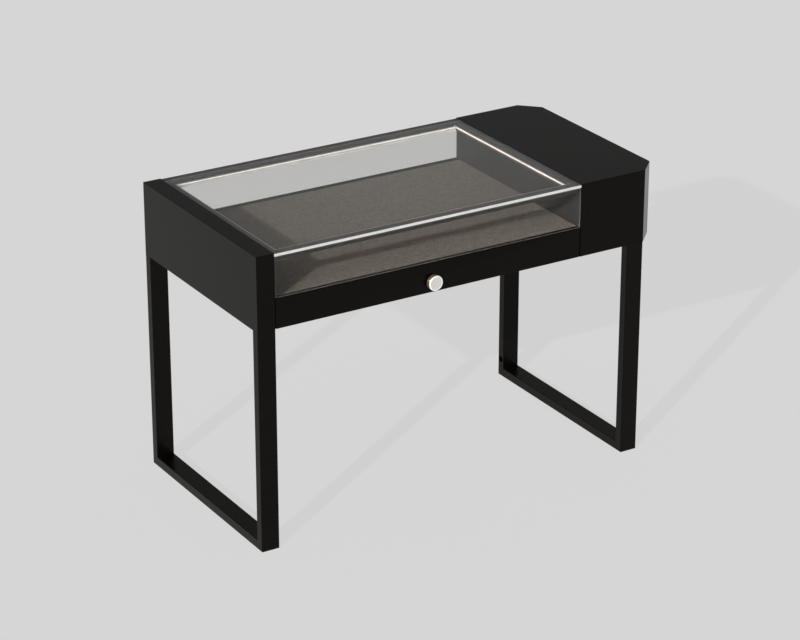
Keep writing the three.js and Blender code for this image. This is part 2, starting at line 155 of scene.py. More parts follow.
class TableSizes(bpy.types.PropertyGroup):
    """Small sizes that the finish adds to the solids."""

    arris: FloatProperty(
        name="Board arris",
        description="Rounding of the lacquered boards' edges",
        default=0.0009,
        unit="LENGTH",
    )
    glass_arris: FloatProperty(
        name="Glass arris",
        description="Ground edge of the panes",
        default=0.0008,
        unit="LENGTH",
    )
    felt_nap: FloatProperty(
        name="Felt unevenness",
        description="How far the felt's face rises and falls",
        default=0.00018,
        unit="LENGTH",
    )
    screw_radius: FloatProperty(
        name="Screw head radius",
        description="Radius of the countersunk screw heads",
        default=0.0036,
        unit="LENGTH",
    )
    # The bead's beige colour is a painted highlight: the light line's glow on the rails' inner top edge.
    bead: FloatProperty(
        name="Rail bead",
        description="Width of the polished bead along the light rails",
        default=0.0014,
        unit="LENGTH",
    )
    # The strip beside the bead is not polished metal: it is painted with the light line's glow, as a
    # highlight.
    polish: FloatProperty(
        name="Rail polish",
        description="Width of the polished strip beside the bead, on top of the light rails",
        default=0.0014,
        unit="LENGTH",
    )
    lip: FloatProperty(
        name="Light lip",
        description="Height of the unlit lip along the light line's lower edge",
        default=0.0028,
        unit="LENGTH",
    )
    sun_strength: FloatProperty(
        name="Key light",
        description="Strength of the key light from the front left",
        default=4.0,
    )
    sky_strength: FloatProperty(
        name="Sky light",
        description="Strength of the soft light all round, which is brightest on the key light's side",
        default=1.0,
    )


class TableColours(bpy.types.PropertyGroup):
    """Colours of the finishes."""

    lacquer: FloatVectorProperty(
        name="Lacquer",
        description="Black lacquer of the boards",
        default=(0.0020, 0.0016, 0.0011),
        subtype="COLOR",
        size=3,
    )
    frame_black: FloatVectorProperty(
        name="Leg frames",
        description="Powder coat of the tube frames",
        default=(0.0022, 0.0018, 0.0013),
        subtype="COLOR",
        size=3,
    )
    felt: FloatVectorProperty(
        name="Felt",
        description="Warm grey felt on the deck",
        default=(0.072, 0.0565, 0.0445),
        subtype="COLOR",
        size=3,
    )
    rail: FloatVectorProperty(
        name="Light rails",
        description="Anodised rails under the top glass",
        default=(0.045, 0.042, 0.038),
        subtype="COLOR",
        size=3,
    )
    glow: FloatVectorProperty(
        name="Light line",
        description="Warm white of the light line",
        default=(1.0, 0.982, 0.955),
        subtype="COLOR",
        size=3,
    )
    bronze: FloatVectorProperty(
        name="Knob barrel",
        description="Satin bronze of the knob's barrel",
        default=(0.50, 0.36, 0.24),
        subtype="COLOR",
        size=3,
    )
    backdrop: FloatVectorProperty(
        name="Backdrop",
        description="Plain pale grey of the floor and backdrop",
        default=(0.672, 0.672, 0.672),
        subtype="COLOR",
        size=3,
    )


def sizes():
    """The size settings of the open scene."""
    return bpy.context.scene.table_sizes


def colours():
    """The colour settings of the open scene."""
    return bpy.context.scene.table_colours


def scaled(colour, factor):
    """A colour made lighter or darker, with full alpha."""
    return tuple(min(1.0, channel * factor) for channel in colour) + (1.0,)


# Materials


class Finish:
    """A material being built: its node tree, its Principled shader and short ways to add nodes."""

    def __init__(self, name):
        self.material = bpy.data.materials.new(name)
        self.material.use_nodes = True
        self.tree = self.material.node_tree
        self.shader = self.tree.nodes["Principled BSDF"]
        self.place = self.add("ShaderNodeTexCoord").outputs["Object"]

    def add(self, kind, **settings):
        node = self.tree.nodes.new(kind)
        for key, value in settings.items():
            setattr(node, key, value)
        return node

    def link(self, source, target):
        self.tree.links.new(source, target)

    def set(self, **values):
        """Constant values on the shader's own sockets, named with underscores."""
        for key, value in values.items():
            self.shader.inputs[key.replace("_", " ")].default_value = value

    def mapped(self, scale=(1, 1, 1), shift=(0, 0, 0)):
        node = self.add("ShaderNodeMapping")
        node.inputs["Location"].default_value = shift
        node.inputs["Scale"].default_value = scale
        self.link(self.place, node.inputs["Vector"])
        return node.outputs["Vector"]

    def noise(self, scale, detail=2.0, vector=None, roughness=0.5):
        node = self.add("ShaderNodeTexNoise")
        node.inputs["Scale"].default_value = scale
        node.inputs["Detail"].default_value = detail
        node.inputs["Roughness"].default_value = roughness
        self.link(vector or self.place, node.inputs["Vector"])
        return node.outputs["Fac"]

    def colour(self, factor, dark, light, low=0.3, high=0.7):
        ramp = self.add("ShaderNodeValToRGB")
        ramp.color_ramp.elements[0].position = low
        ramp.color_ramp.elements[0].color = dark
        ramp.color_ramp.elements[1].position = high
        ramp.color_ramp.elements[1].color = light
        self.link(factor, ramp.inputs["Fac"])
        self.link(ramp.outputs["Color"], self.shader.inputs["Base Color"])

    def roughness(self, factor, low, high):
        spread = self.add("ShaderNodeMapRange")
        spread.inputs["From Min"].default_value = 0.3
        spread.inputs["From Max"].default_value = 0.7
        spread.inputs["To Min"].default_value = low
        spread.inputs["To Max"].default_value = high
        self.link(factor, spread.inputs["Value"])
        self.link(spread.outputs["Result"], self.shader.inputs["Roughness"])

    def bump(self, height, strength, distance):
        node = self.add("ShaderNodeBump")
        node.inputs["Strength"].default_value = strength
        node.inputs["Distance"].default_value = distance
        self.link(height, node.inputs["Height"])
        self.link(node.outputs["Normal"], self.shader.inputs["Normal"])


def lacquer_finish():
    """Sprayed and rubbed black lacquer: faint cloudy tone, uneven gloss and a trace of orange peel."""
    made = Finish("black_lacquer")
    black = colours().lacquer
    made.colour(made.noise(2.4, 4.0), scaled(black, 0.8), scaled(black, 1.25))
    made.roughness(made.noise(9.0, 3.0), 0.16, 0.21)
    made.bump(made.noise(420.0, 1.0), 0.025, 0.0004)
    made.set(Specular_IOR_Level=0.1, Specular_Tint=(1.0, 0.96, 0.9, 1))
    return made.material


def powder_finish():
    """Powder coat on steel: fine pebbled texture."""
    made = Finish("frame_black")
    black = colours().frame_black
    made.colour(made.noise(5.0, 4.0), scaled(black, 0.8), scaled(black, 1.25))
    made.roughness(made.noise(60.0, 2.0), 0.24, 0.32)
    made.bump(made.noise(1400.0, 2.0), 0.06, 0.0003)
    made.set(Specular_IOR_Level=0.1, Specular_Tint=(1.0, 0.96, 0.9, 1))
    return made.material


def board_finish():
    """Matt black board inside the tray, with a pressed fibre texture."""
    made = Finish("tray_board")
    made.colour(made.noise(38.0, 6.0, roughness=0.65), (0.014, 0.012, 0.010, 1), (0.034, 0.030, 0.026, 1))
    made.roughness(made.noise(16.0, 3.0), 0.55, 0.72)
    made.bump(made.noise(600.0, 2.0), 0.12, 0.0004)
    made.set(Specular_IOR_Level=0.3)
    return made.material


def felt_finish():
    """Pressed wool felt: short crossing fibres, mottled tone and a soft sheen."""
    made = Finish("grey_felt")
    grey = colours().felt
    lengthwise = made.noise(190.0, 3.0, made.mapped((0.32, 1.6, 1.0)))
    crosswise = made.noise(210.0, 3.0, made.mapped((1.7, 0.3, 1.0), (3.1, 1.7, 0.0)))
    fibres = made.add("ShaderNodeMath", operation="ADD")
    made.link(lengthwise, fibres.inputs[0])
    made.link(crosswise, fibres.inputs[1])
    mottle = made.add("ShaderNodeMath", operation="ADD")
    made.link(made.noise(200.0, 2.0), mottle.inputs[0])
    made.link(fibres.outputs["Value"], mottle.inputs[1])
    mean = made.add("ShaderNodeMath", operation="DIVIDE")
    made.link(mottle.outputs["Value"], mean.inputs[0])
    mean.inputs[1].default_value = 3.0
    made.colour(mean.outputs["Value"], scaled(grey, 0.5), scaled(grey, 1.5), 0.41, 0.59)
    made.bump(fibres.outputs["Value"], 0.35, 0.0008)
    made.set(Roughness=0.95, Specular_IOR_Level=0.1, Sheen_Weight=0.08, Sheen_Roughness=0.5)
    return made.material


def rail_finish():
    """Dark anodised alloy with a drawn grain."""
    made = Finish("rail_alloy")
    grey = colours().rail
    made.colour(made.noise(320.0, 3.0), scaled(grey, 0.85), scaled(grey, 1.15))
    made.roughness(made.noise(260.0, 2.0), 0.4, 0.55)
    made.bump(made.noise(900.0, 1.0), 0.06, 0.0002)
    made.set(Metallic=0.35, Specular_IOR_Level=0.4)
    return made.material


def bead_glow_finish():
    """Beige bead along the rails' inner edge: a painted highlight for the light line's glow on that edge.
    """
    made = Finish("rail_bead_painted_glow")
    made.colour(made.noise(240.0, 3.0), (0.30, 0.25, 0.20, 1), (0.40, 0.34, 0.28, 1))
    made.roughness(made.noise(400.0, 2.0), 0.34, 0.46)
    made.set(Metallic=0.3)
    return made.material


def backdrop_lip_finish():
    """Pale grey below the rear light line: painted light, standing in for the bright backdrop seen
    through the rear pane.
    """
    made = Finish("light_lip_painted_backdrop")
    made.colour(made.noise(60.0, 3.0), (0.500, 0.500, 0.492, 1), (0.540, 0.540, 0.532, 1))
    made.roughness(made.noise(200.0, 2.0), 0.5, 0.65)
    return made.material


def lining_finish():
    """Dark grey paint on the case's inner walls."""
    made = Finish("case_lining")
    made.colour(made.noise(30.0, 4.0), (0.012, 0.0115, 0.0108, 1), (0.017, 0.0162, 0.015, 1))
    made.roughness(made.noise(14.0, 3.0), 0.5, 0.62)
    made.bump(made.noise(700.0, 2.0), 0.04, 0.0003)
    made.set(Specular_IOR_Level=0.2)
    return made.material


def rubber_finish():
    """Black rubber strip under the glass."""
    made = Finish("gasket_black")
    made.colour(made.noise(80.0, 3.0), (0.012, 0.012, 0.012, 1), (0.026, 0.026, 0.026, 1))
    made.roughness(made.noise(120.0, 2.0), 0.7, 0.86)
    made.bump(made.noise(900.0, 2.0), 0.1, 0.0003)
    return made.material


def opal_finish():
    """Opal diffuser of the light line, lit evenly from behind."""
    made = Finish("light_opal")
    glow = colours().glow
    made.colour(made.noise(30.0, 2.0), scaled(glow, 0.86), scaled(glow, 0.94))
    made.roughness(made.noise(200.0, 2.0), 0.45, 0.6)
    made.set(Emission_Color=scaled(glow, 1.0), Emission_Strength=0.22)
    return made.material


def tape_finish():
    """White light tape with a row of small diodes along it."""
    made = Finish("light_tape")
    made.colour(made.noise(55.0, 1.0), (0.72, 0.7, 0.64, 1), (0.86, 0.8, 0.52, 1))
    made.roughness(made.noise(150.0, 2.0), 0.4, 0.6)
    made.set(Emission_Color=scaled(colours().glow, 1.0), Emission_Strength=0.5)
    return made.material


def zinc_finish():
    """Bright zinc plate on sheet steel, with a faint spangle."""
    made = Finish("runner_zinc")
    cells = made.add("ShaderNodeTexVoronoi")
    cells.inputs["Scale"].default_value = 150.0
    made.link(made.mapped((1.0, 0.35, 1.0)), cells.inputs["Vector"])
    made.colour(cells.outputs["Distance"], (0.42, 0.43, 0.44, 1), (0.6, 0.61, 0.62, 1), 0.1, 0.8)
    made.roughness(made.noise(90.0, 3.0), 0.26, 0.42)
    made.bump(made.noise(700.0, 1.0), 0.04, 0.0002)
    made.set(Metallic=0.95)
    return made.material


def turned_finish(name, dark, light, rough, metallic):
    """Metal turned on a lathe: fine rings about the knob's axis."""
    made = Finish(name)
    centred = made.mapped((1, 1, 1), tuple(-axis for axis in KNOB_AXIS))
    rings = made.add("ShaderNodeTexWave", wave_type="RINGS", rings_direction="Y")
    rings.inputs["Scale"].default_value = 700.0
    rings.inputs["Distortion"].default_value = 1.2
    made.link(centred, rings.inputs["Vector"])
    made.colour(made.noise(130.0, 4.0), dark, light)
    made.roughness(made.noise(220.0, 3.0), rough - 0.05, rough + 0.05)
    made.bump(rings.outputs["Fac"], 0.05, 0.0002)
    made.set(Metallic=metallic)
    return made.material


def bronze_finish():
    """Satin bronze of the knob's barrel."""
    bronze = colours().bronze
    return turned_finish("knob_bronze", scaled(bronze, 0.85), scaled(bronze, 1.15), 0.36, 0.85)


def silver_finish():
    """Satin silver of the knob's face."""
    return turned_finish("knob_silver", (0.82, 0.815, 0.805, 1), (0.92, 0.915, 0.905, 1), 0.42, 0.9)


def rim_highlight_finish():
    """Bevel round the knob's face, near-white and matt: a painted highlight ring all round."""
    return turned_finish("knob_rim_painted_highlight", (0.88, 0.88, 0.87, 1), (0.94, 0.94, 0.93, 1), 0.5, 0.1)


def driver_finish():
    """White moulded case of the light supply."""
    made = Finish("driver_white")
    made.colour(made.noise(40.0, 3.0), (0.6, 0.6, 0.58, 1), (0.72, 0.72, 0.7, 1))
    made.roughness(made.noise(300.0, 2.0), 0.5, 0.62)
    made.bump(made.noise(1500.0, 1.0), 0.1, 0.0002)
    return made.material


def glass_finish():
    """Clear glass with a coat that cuts reflections; the lamps reach what is under it."""
    made = Finish("clear_glass")
    made.set(Base_Color=(0.93, 0.927, 0.919, 1), Specular_Tint=(0.2, 0.2, 0.2, 1))
    made.set(Transmission_Weight=1.0, IOR=1.5)
    made.roughness(made.noise(6.0, 3.0), 0.0, 0.012)
    clear = made.add("ShaderNodeBsdfTransparent")
    clear.inputs["Color"].default_value = (0.94, 0.955, 0.945, 1)
    paths = made.add("ShaderNodeLightPath")
    mix = made.add("ShaderNodeMixShader")
    made.link(paths.outputs["Is Shadow Ray"], mix.inputs[0])
    made.link(made.shader.outputs["BSDF"], mix.inputs[1])
    made.link(clear.outputs["BSDF"], mix.inputs[2])
    made.link(mix.outputs["Shader"], made.tree.nodes["Material Output"].inputs["Surface"])
    return made.material


def glass_edge_finish():
    """Polished front edge of the top pane, which gathers light and looks white; that light is painted in
    as a pale grey colour.
    """
    made = Finish("glass_edge")
    streaks = made.noise(22.0, 4.0, made.mapped((1.0, 1.0, 6.0)))
    made.colour(streaks, (0.56, 0.56, 0.55, 1), (0.66, 0.66, 0.65, 1))
    made.roughness(made.noise(500.0, 2.0), 0.22, 0.34)
    made.set(Specular_IOR_Level=0.6)
    return made.material


def ground_edge_finish():
    """Dull ground edge of the front pane."""
    made = Finish("ground_edge")
    made.colour(made.noise(300.0, 3.0), (0.045, 0.047, 0.045, 1), (0.065, 0.068, 0.065, 1))
    made.roughness(made.noise(500.0, 2.0), 0.5, 0.65)
    made.bump(made.noise(2000.0, 2.0), 0.1, 0.0002)
    return made.material


FINISHES = {
    "black_lacquer": lacquer_finish,
    "frame_black": powder_finish,
    "tray_board": board_finish,
    "grey_felt": felt_finish,
    "rail_alloy": rail_finish,
    "rail_bead_painted_glow": bead_glow_finish,
    "light_lip_painted_backdrop": backdrop_lip_finish,
    "case_lining": lining_finish,
    "gasket_black": rubber_finish,
    "light_white": opal_finish,
    "light_tape": tape_finish,
    "runner_zinc": zinc_finish,
    "knob_bronze": bronze_finish,
    "knob_silver": silver_finish,
    "knob_rim_painted_highlight": rim_highlight_finish,
    "driver_white": driver_finish,
    "clear_glass": glass_finish,
    "glass_edge": glass_edge_finish,
    "ground_edge": ground_edge_finish,
}
made_finishes = {}


def finish_of(key):
    """The material of a finish, made once."""
    if key not in made_finishes:
        made_finishes[key] = FINISHES[key]()
    return made_finishes[key]


def dress(node, key):
    """Gives a solid that stays in view its finish."""
    data = NODES[node].data
    data.materials.clear()
    data.materials.append(finish_of(key))


def seen_rays(tree):
    """One for a ray that shows the backdrop: from the camera, in a reflection or through glass."""
    paths = tree.nodes.new("ShaderNodeLightPath")
    total = paths.outputs["Is Camera Ray"]
    for kind in ("Is Glossy Ray", "Is Transmission Ray"):
        either = tree.nodes.new("ShaderNodeMath")
        either.operation = "MAXIMUM"
        tree.links.new(total, either.inputs[0])
        tree.links.new(paths.outputs[kind], either.inputs[1])
        total = either.outputs["Value"]
    return total


# Meshes


def piece(bm, name, body, keys, replaces=()):
    """Turns a bmesh into a finished piece that rides on a body."""
    if not bm.faces:
        raise RuntimeError(f"{name} has no faces")
    mesh = bpy.data.meshes.new(name)
    bm.to_mesh(mesh)
    bm.free()
    for key in keys:
        mesh.materials.append(finish_of(key))
    mesh.shade_smooth()
    mesh.set_sharp_from_angle(angle=SHARP_ANGLE)
    made = bpy.data.objects.new(name, mesh)
    bpy.context.scene.collection.objects.link(made)
    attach(made, body)
    if replaces:
        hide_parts(*replaces)
    return made


def merged_copy(node):
    """A bmesh of a solid with its triangles merged into flat faces."""
    bm = bmesh.new()
    bm.from_mesh(NODES[node].data)
    bmesh.ops.remove_doubles(bm, verts=bm.verts, dist=MERGE_DISTANCE)
    bmesh.ops.dissolve_limit(bm, angle_limit=FLAT_ANGLE, verts=bm.verts, edges=bm.edges)
    return bm


def ease_edges(bm, width, wanted=lambda edge: True, segments=3):
    """Rounds the outer edges that the test picks."""
    edges = [e for e in bm.edges if e.is_convex and e.calc_face_angle(0) > CORNER_ANGLE and wanted(e)]
    bmesh.ops.bevel(
        bm,
        geom=edges,
        offset=width,
        offset_type="OFFSET",
        segments=segments,
        profile=0.5,
        affect="EDGES",
        clamp_overlap=True,
        material=-1,
    )


def cut_across(bm, axis, place):
    """Cuts every face at a place along an axis, so that the two sides can take different finishes."""
    normal = Vector((0, 0, 0))
    normal[axis] = 1
    every = [*bm.verts, *bm.edges, *bm.faces]
    bmesh.ops.bisect_plane(bm, geom=every, plane_co=normal * place, plane_no=normal)


def screw_head(bm, place, axis, radius):
    """A countersunk head whose rim is at a point, with a round socket in its middle."""
    outward = Vector(axis)
    turn = Vector((0, 0, 1)).rotation_difference(outward).to_matrix().to_4x4()
    middle = place - outward * (SCREW_DEPTH / 2)
    made = bmesh.ops.create_cone(
        bm,
        cap_ends=True,
        segments=SCREW_STEPS,
        radius1=radius * SCREW_TAPER,
        radius2=radius,
        depth=SCREW_DEPTH,
        matrix=Matrix.Translation(middle) @ turn,
    )
    bm.normal_update()
    faces = {face for vert in made["verts"] for face in vert.link_faces}
    top = max(faces, key=lambda face: face.calc_center_median().dot(outward))
    bmesh.ops.inset_individual(bm, faces=[top], thickness=radius * SCREW_RIM, depth=0)
    sunk = -SCREW_DEPTH * SOCKET_DEPTH
    bmesh.ops.inset_individual(bm, faces=[top], thickness=radius * SOCKET_SLOPE, depth=sunk)


# Operators, one for each piece or group of like pieces


class TABLE_OT_boards(bpy.types.Operator):
    """Lacquered boards of the case and the side box, with rounded arrises"""

    bl_idname = "table.boards"
    bl_label = "Lacquered boards"

    def execute(self, context):
        body_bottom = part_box("left_end_panel")[0].z

        def above_posts(edge):
            return any(v.co.z > body_bottom + POST_MARGIN for v in edge.verts)

        for node in ("left_end_panel", "carcass_base", "rear_board", *BOX_BOARDS):
            bm = merged_copy(node)
            ease_edges(bm, sizes().arris, above_posts)
            bm.normal_update()
            keys = ["black_lacquer"]
            if node in INNER_WALLS:
                keys.append("case_lining")
                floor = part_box("felt_lining")[0].z
                cut_across(bm, 2, floor)
                for face in bm.faces:
                    above = face.calc_center_median().z > floor
                    face.material_index = int(above and face.normal.x * INNER_WALLS[node] > SQUARE_ON)
            piece(bm, f"{node}_lacquered", "case", keys, [node])
        return {"FINISHED"}


class TABLE_OT_tray_front(bpy.types.Operator):
    """Knobbed front board of the tray"""

    bl_idname = "table.tray_front"
    bl_label = "Tray front"

    def execute(self, context):
        bm = merged_copy("drawer_front")
        ease_edges(bm, sizes().arris, lambda edge: edge.calc_length() > BOARD_EDGE_LENGTH)
        piece(bm, "drawer_front_lacquered", "tray", ["black_lacquer"], ["drawer_front"])
        return {"FINISHED"}


class TABLE_OT_panes(bpy.types.Operator):
    """Glass panes with eased arrises, bare at the front and in black sealant where they are bedded"""

    bl_idname = "table.panes"
    bl_label = "Glass panes"

    def edge(self, node, normal):
        """An edge's finish: polished on the top pane's front, ground on the front pane, else sealed."""
        if node == "top_glass" and normal.y < -TILTED:
            return POLISHED
        if node == "front_glass" and normal.z > -TILTED:
            return GROUND
        return SEALED

    def execute(self, context):
        for node, (body, across) in PANES.items():
            bm = merged_copy(node)
            ease_edges(bm, sizes().glass_arris, segments=2)
            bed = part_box("rear_glass")[0].y
            if node == "top_glass":
                cut_across(bm, 1, bed)
            bm.normal_update()
            for face in bm.faces:
                if abs(face.normal[across]) < SQUARE_ON:
                    face.material_index = self.edge(node, face.normal)
                elif node == "top_glass" and face.normal.z < 0 and face.calc_center_median().y > bed:
                    face.material_index = SEALED
            piece(bm, f"{node}_pane", body, PANE_FINISHES, [node])
        return {"FINISHED"}


class TABLE_OT_felt(bpy.types.Operator):
    """Felt lining, a sheet glued on the deck"""

    bl_idname = "table.felt"
    bl_label = "Felt lining"

    def execute(self, context):
        low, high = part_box("felt_lining")
        span = high - low
        middle = (low + high) / 2
        bm = bmesh.new()
        place = Matrix.Translation((middle.x, middle.y, high.z - sizes().felt_nap))
        spread = Matrix.Diagonal((span.x / 2, span.y / 2, 1, 1))
        across, along = FELT_CELLS
        bmesh.ops.create_grid(bm, x_segments=across, y_segments=along, size=1.0, matrix=place @ spread)
        for vert in bm.verts:
            vert.co.z += sizes().felt_nap * noise.noise(vert.co * FELT_PITCH)
        rim = [e for e in bm.edges if e.is_boundary]
        drop = bmesh.ops.extrude_edge_only(bm, edges=rim)
        skirt = [v for v in drop["geom"] if isinstance(v, bmesh.types.BMVert)]
        for vert in skirt:
            vert.co.z = low.z
        bmesh.ops.holes_fill(bm, edges=[e for e in bm.edges if e.is_boundary], sides=0)
        bmesh.ops.recalc_face_normals(bm, faces=bm.faces)

        def upper_rim(edge):
            return edge.calc_face_angle(0) > FELT_CORNER and edge.verts[0].co.z > middle.z

        ease_edges(bm, FELT_ARRIS, upper_rim)
        made = piece(bm, "felt_cloth", "tray", ["grey_felt"], ["felt_lining"])
        return {"FINISHED"}


class TABLE_OT_light_frame(bpy.types.Operator):
    """Light frame under the top glass: rails, gaskets, diffusers and tapes"""

    bl_idname = "table.light_frame"
    bl_label = "Light frame"

    def diffuser(self, side):
        """One diffuser, with an unlit lip along its lower edge, painted pale at the rear for the bright
        backdrop seen through the rear pane, else in the rails' painted glow colour.
        """
        node = f"led_diffuser_{side}"
        bm = merged_copy(node)
        ease_edges(bm, DIFFUSER_ARRIS, segments=2)
        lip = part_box(node)[0].z + sizes().lip
        cut_across(bm, 2, lip)
        for face in bm.faces:
            face.material_index = int(face.calc_center_median().z < lip)
        # The lip is painted pale at the rear, for the backdrop seen through the rear pane; elsewhere it
        # takes the rails' painted glow colour.
        lip_key = "light_lip_painted_backdrop" if side == "rear" else "rail_bead_painted_glow"
        piece(bm, f"{node}_finished", "case", ["light_white", lip_key], [node])

    def rail(self, side):
        """One rail: bead and strip along its inner top edge painted with the light line's glow as a
        highlight, and below the rear light line painted pale for the bright backdrop seen through the
        rear pane.
        """
        node = f"led_rail_{side}"
        low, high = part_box(node)
        axis, towards = INWARD[side]
        inner = high[axis] if towards > 0 else low[axis]
        bm = merged_copy(node)

        def inner_top(edge):
            off = [max(abs(v.co[axis] - inner), high.z - v.co.z) for v in edge.verts]
            return max(off) < ON_THE_EDGE

        ease_edges(bm, sizes().bead, inner_top, segments=1)
        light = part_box(f"led_diffuser_{side}")[0].z
        # Up to here the rail's top is painted with the light line's glow, as a highlight.
        polished = inner - towards * (sizes().bead + sizes().polish)
        cut_across(bm, axis, polished)
        if side == "rear":
            cut_across(bm, 2, light)
        bm.normal_update()
        for face in bm.faces:
            middle = face.calc_center_median()
            near = (middle[axis] - polished) * towards > 0
            if near and face.normal.z > UPWARD and middle.z > high.z - RAIL_TOP_BAND:
                face.material_index = PAINTED_GLOW
            # Below the rear light line the rail's inner face is painted pale, for the backdrop seen
            # through the rear pane.
            elif side == "rear" and face.normal[axis] * towards > SQUARE_ON and middle.z < light:
                face.material_index = PAINTED_BACKDROP
        piece(bm, f"{node}_finished", "case", RAIL_FINISHES, [node])

    def execute(self, context):
        for side in SIDES:
            dress(f"led_tape_{side}", "light_tape")
            dress(f"glass_gasket_{side}", "gasket_black")
            self.diffuser(side)
            self.rail(side)
        low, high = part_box("led_rail_right")
        bm = bmesh.new()
        in_x, in_y = RAIL_SCREW_IN
        spot = Vector((low.x + in_x, low.y + in_y, high.z + SCREW_PROUD))
        screw_head(bm, spot, (0, 0, 1), sizes().screw_radius)
        piece(bm, "rail_screw", "case", ["knob_silver"])
        return {"FINISHED"}


class TABLE_OT_knob(bpy.types.Operator):
    """Turned knob: bronze barrel on a neck, bevelled silver cap and the screw behind the board"""

    bl_idname = "table.knob"
    bl_label = "Knob"

    def turn(self, name, slot, profile, node):
        """A piece turned about the knob's axis, from points of radius and depth."""
        bm = bmesh.new()
        points = [bm.verts.new((KNOB_AXIS.x + r, y, KNOB_AXIS.z)) for r, y in profile]
        edges = [bm.edges.new(pair) for pair in zip(points, points[1:])]
        bmesh.ops.spin(
            bm,
            geom=points + edges,
            cent=(KNOB_AXIS.x, 0, KNOB_AXIS.z),
            axis=(0, 1, 0),
            angle=2 * math.pi,
            steps=TURN_STEPS,
            use_merge=True,
        )
        bmesh.ops.remove_doubles(bm, verts=bm.verts, dist=MERGE_DISTANCE / 2)
        bmesh.ops.recalc_face_normals(bm, faces=bm.faces)
        return piece(bm, name, "tray", [slot], [node])

    def execute(self, context):
        low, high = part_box("knob_barrel")
        cap_low, cap_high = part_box("knob_cap")
        radius = (high.x - low.x) / 2
        shoulder = high.y - KNOB_NECK_LENGTH
        barrel = [
            (0, low.y),
            (radius - KNOB_ROUND / 2, low.y),
            (radius, low.y + KNOB_ROUND / 2),
            (radius, shoulder - KNOB_ROUND),
            (radius - KNOB_ROUND * KNOB_SHOULDER, shoulder - KNOB_ROUND * KNOB_SHOULDER),
            (radius - KNOB_ROUND, shoulder),
            (KNOB_NECK, shoulder),
            (KNOB_NECK, high.y),
            (0, high.y),
        ]
        self.turn("knob_barrel_turned", "knob_bronze", barrel, "knob_barrel")
        flat = radius - CAP_RIM
        rim_back = cap_low.y + CAP_RIM * CAP_RIM_SLOPE
        cap = [
            (0, cap_low.y + CAP_DISH),
            (flat - 2 * CAP_DISH_SLOPE, cap_low.y + CAP_DISH),
            (flat - CAP_DISH_SLOPE, cap_low.y),
            (flat, cap_low.y),
            (radius - CAP_LIP, rim_back),
            (radius, rim_back + CAP_DISH),
            (radius, cap_high.y),
            (0, cap_high.y),
        ]
        made = self.turn("knob_cap_turned", "knob_silver", cap, "knob_cap")
        made.data.materials.append(finish_of("knob_rim_painted_highlight"))
        # The rim's bevel faces take the near-white painted highlight.
        least, most = RIM_FACING
        for face in made.data.polygons:
            face.material_index = int(least < face.normal.y < most)
        dress("knob_screw", "runner_zinc")
        return {"FINISHED"}


class TABLE_OT_runners(bpy.types.Operator):
    """Telescopic runners and the screws that hold them"""

    bl_idname = "table.runners"
    bl_label = "Runners"

    def execute(self, context):
        for kind in RUNNER_MEMBERS:
            for side in ("left", "right"):
                dress(f"runner_{kind}_{side}", "runner_zinc")
        for kind, body in (("outer", "case"), ("inner", "tray")):
            bm = bmesh.new()
            for side, inward in (("left", 1), ("right", -1)):
                low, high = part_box(f"runner_{kind}_{side}")
                wall = low.x if (side == "left") == (kind == "outer") else high.x
                towards = inward if kind == "outer" else -inward
                for step in HOLE_STEPS:
                    spot = Vector((wall + towards * RUNNER_SHEET, low.y + step, (low.z + high.z) / 2))
                    screw_head(bm, spot, (towards, 0, 0), HOLE_RADIUS)
            piece(bm, f"runner_screws_{kind}", body, ["runner_zinc"])
        return {"FINISHED"}


class TABLE_OT_hardware(bpy.types.Operator):
    """Leg frames, tray boards, light supply and the screws under the case"""

    bl_idname = "table.hardware"
    bl_label = "Frames and tray boards"

    def execute(self, context):
        for node in ("left_leg_frame", "right_leg_frame"):
            dress(node, "frame_black")
        for node in TRAY_BOARDS:
            dress(node, "tray_board")
        dress("led_driver", "driver_white")
        bm = bmesh.new()
        low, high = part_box("carcass_base")
        gap, last = BASE_SCREW_EDGE, BASE_SCREW_COUNT - 1
        run = high.x - low.x - 2 * gap
        spots = [(low.x + gap + run * i / last, high.y - gap / 2) for i in range(BASE_SCREW_COUNT)]
        for y in BASE_SCREW_ROWS:
            spots += [(low.x + gap / 2, low.y + y), (high.x - gap / 2, low.y + y)]
        for x, y in spots:
            screw_head(bm, Vector((x, y, low.z - SCREW_PROUD)), (0, 0, -1), sizes().screw_radius)
        piece(bm, "base_screws", "case", ["runner_zinc"])
        return {"FINISHED"}


